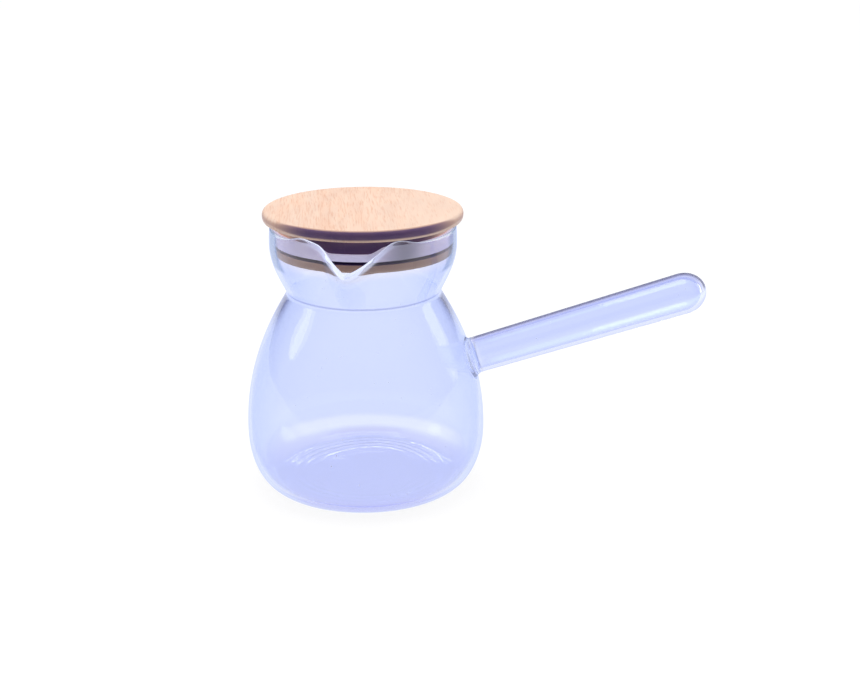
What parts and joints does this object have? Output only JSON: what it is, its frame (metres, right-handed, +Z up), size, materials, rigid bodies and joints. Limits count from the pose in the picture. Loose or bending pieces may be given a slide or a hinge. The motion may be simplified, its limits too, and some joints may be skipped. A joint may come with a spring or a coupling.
{
  "type": "glass side-handle pot",
  "caption": "Clear glass pot with a round body, pinched neck, pulled pouring lip, straight hollow side handle and a turned wooden lid with a soft seal that lifts off.",
  "frame": {"origin": "centre of the flat foot, on the surface that the pot stands on", "axes": "+Z up along the body's axis, +X along the side handle, -Y towards the pouring lip"},
  "size_m": [0.206, 0.108, 0.1275],
  "materials": {
    "glass": "clear fire-polished heat-proof glass with a faint blue cast",
    "wood": "pale turned hardwood, sanded and lightly oiled, with fine pore flecks",
    "silicone": "soft translucent milky silicone, satin"
  },
  "bodies": {
    "pot": {"glass_body": "glass", "handle_tube": "glass", "handle_weld": "glass"},
    "seal": {"lid_seal": "silicone"},
    "lid": {"lid_wood": "wood"}
  },
  "joints": [
    {"name": "lid_lift", "type": "slide", "parent": "pot", "child": "seal", "axis": [0, 0, 1], "range_m": [0, 0.06]},
    {"name": "lid_turn", "type": "hinge", "parent": "seal", "child": "lid", "pos_m": [0, 0, 0.115], "axis": [0, 0, 1], "continuous": true}
  ]
}
